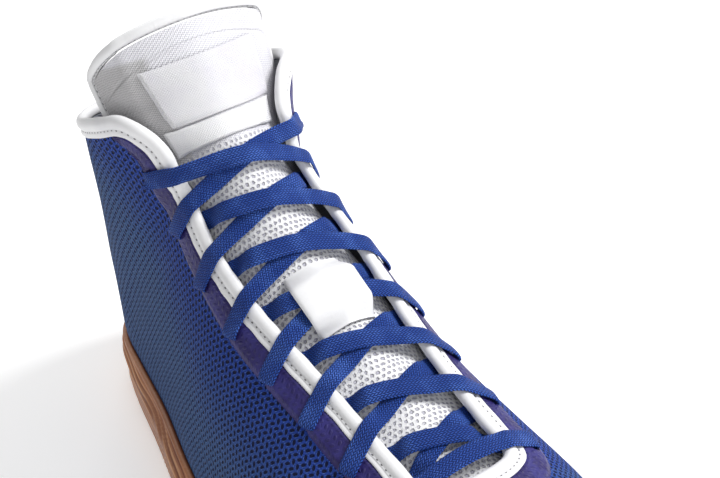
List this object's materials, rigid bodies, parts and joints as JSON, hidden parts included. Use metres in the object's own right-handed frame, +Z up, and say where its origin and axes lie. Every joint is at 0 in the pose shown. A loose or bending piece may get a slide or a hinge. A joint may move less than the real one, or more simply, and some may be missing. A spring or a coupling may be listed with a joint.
{
  "type": "wrestling shoe",
  "caption": "High lace-up wrestling shoe for the right foot: knitted mesh upper with a rolled collar edge, padded tongue, flat lace and a gum rubber cup sole.",
  "frame": {"origin": "on the ground, below the middle of the shoe's box", "axes": "+X from heel to toe, +Y to the wearer's left, which is the inner side, +Z up"},
  "size_m": [0.2776, 0.1068, 0.1655],
  "materials": {
    "gum_rubber": "smooth translucent gum",
    "foam": "brushed foam lining",
    "mesh": "knitted mesh",
    "film": "thin film fused to the mesh",
    "binding": "smooth synthetic leather",
    "tongue_fabric": "padded mesh and twill",
    "woven_white": "fine woven tape",
    "lace": "flat braid"
  },
  "bodies": {
    "root": {"outsole": "gum_rubber", "insole": "foam", "upper": "mesh", "eyestay": "film", "collar_binding": "binding", "tongue": "tongue_fabric", "tongue_binding": "binding", "tongue_label": "woven_white", "tongue_band": "woven_white", "lace_keeper": "binding", "lace_bar": "lace", "lace_cross_1": "lace", "lace_cross_2": "lace", "lace_cross_3": "lace", "lace_cross_4": "lace", "lace_cross_5": "lace", "lace_cross_6": "lace", "lace_cross_7": "lace"}
  },
  "joints": []
}
